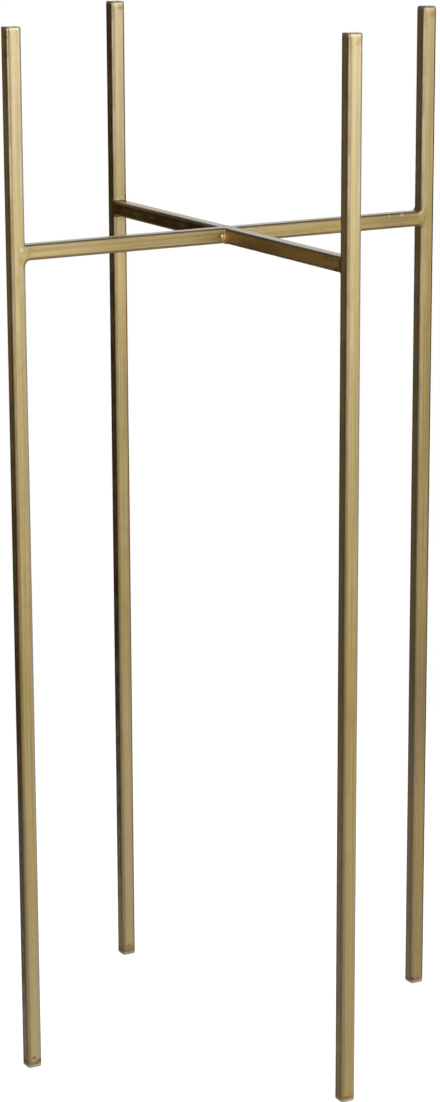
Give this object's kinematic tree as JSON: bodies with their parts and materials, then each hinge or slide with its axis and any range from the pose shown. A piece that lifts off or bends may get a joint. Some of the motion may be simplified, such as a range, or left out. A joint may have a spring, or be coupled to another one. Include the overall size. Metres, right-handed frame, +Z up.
{
  "type": "single plant stand",
  "caption": "Tall slender stand for one plant pot: upright square-tube legs stand at the ends of crossed bars, and the pot sits on the cross between the leg tops.",
  "frame": {"origin": "on the floor, midway between the legs", "axes": "+Z up, X along the long cross bar towards the right leg, the front leg towards -Y"},
  "size_m": [0.378, 0.378, 0.827],
  "materials": {
    "tube_paint": "satin champagne-gold metallic paint over rolled tube",
    "ground_end_paint": "the same paint over ground plate ends",
    "weld_paint": "the same paint over ground welds"
  },
  "bodies": {
    "root": {"leg_right": "tube_paint", "leg_back": "tube_paint", "leg_left": "tube_paint", "leg_front": "tube_paint", "top_plate_right": "ground_end_paint", "top_plate_back": "ground_end_paint", "top_plate_left": "ground_end_paint", "top_plate_front": "ground_end_paint", "foot_plate_right": "ground_end_paint", "foot_plate_back": "ground_end_paint", "foot_plate_left": "ground_end_paint", "foot_plate_front": "ground_end_paint", "long_cross_bar": "tube_paint", "short_cross_bar_back": "tube_paint", "short_cross_bar_front": "tube_paint", "leg_weld_right": "weld_paint", "leg_weld_back": "weld_paint", "leg_weld_left": "weld_paint", "leg_weld_front": "weld_paint", "cross_weld_back": "weld_paint", "cross_weld_front": "weld_paint"}
  },
  "joints": []
}
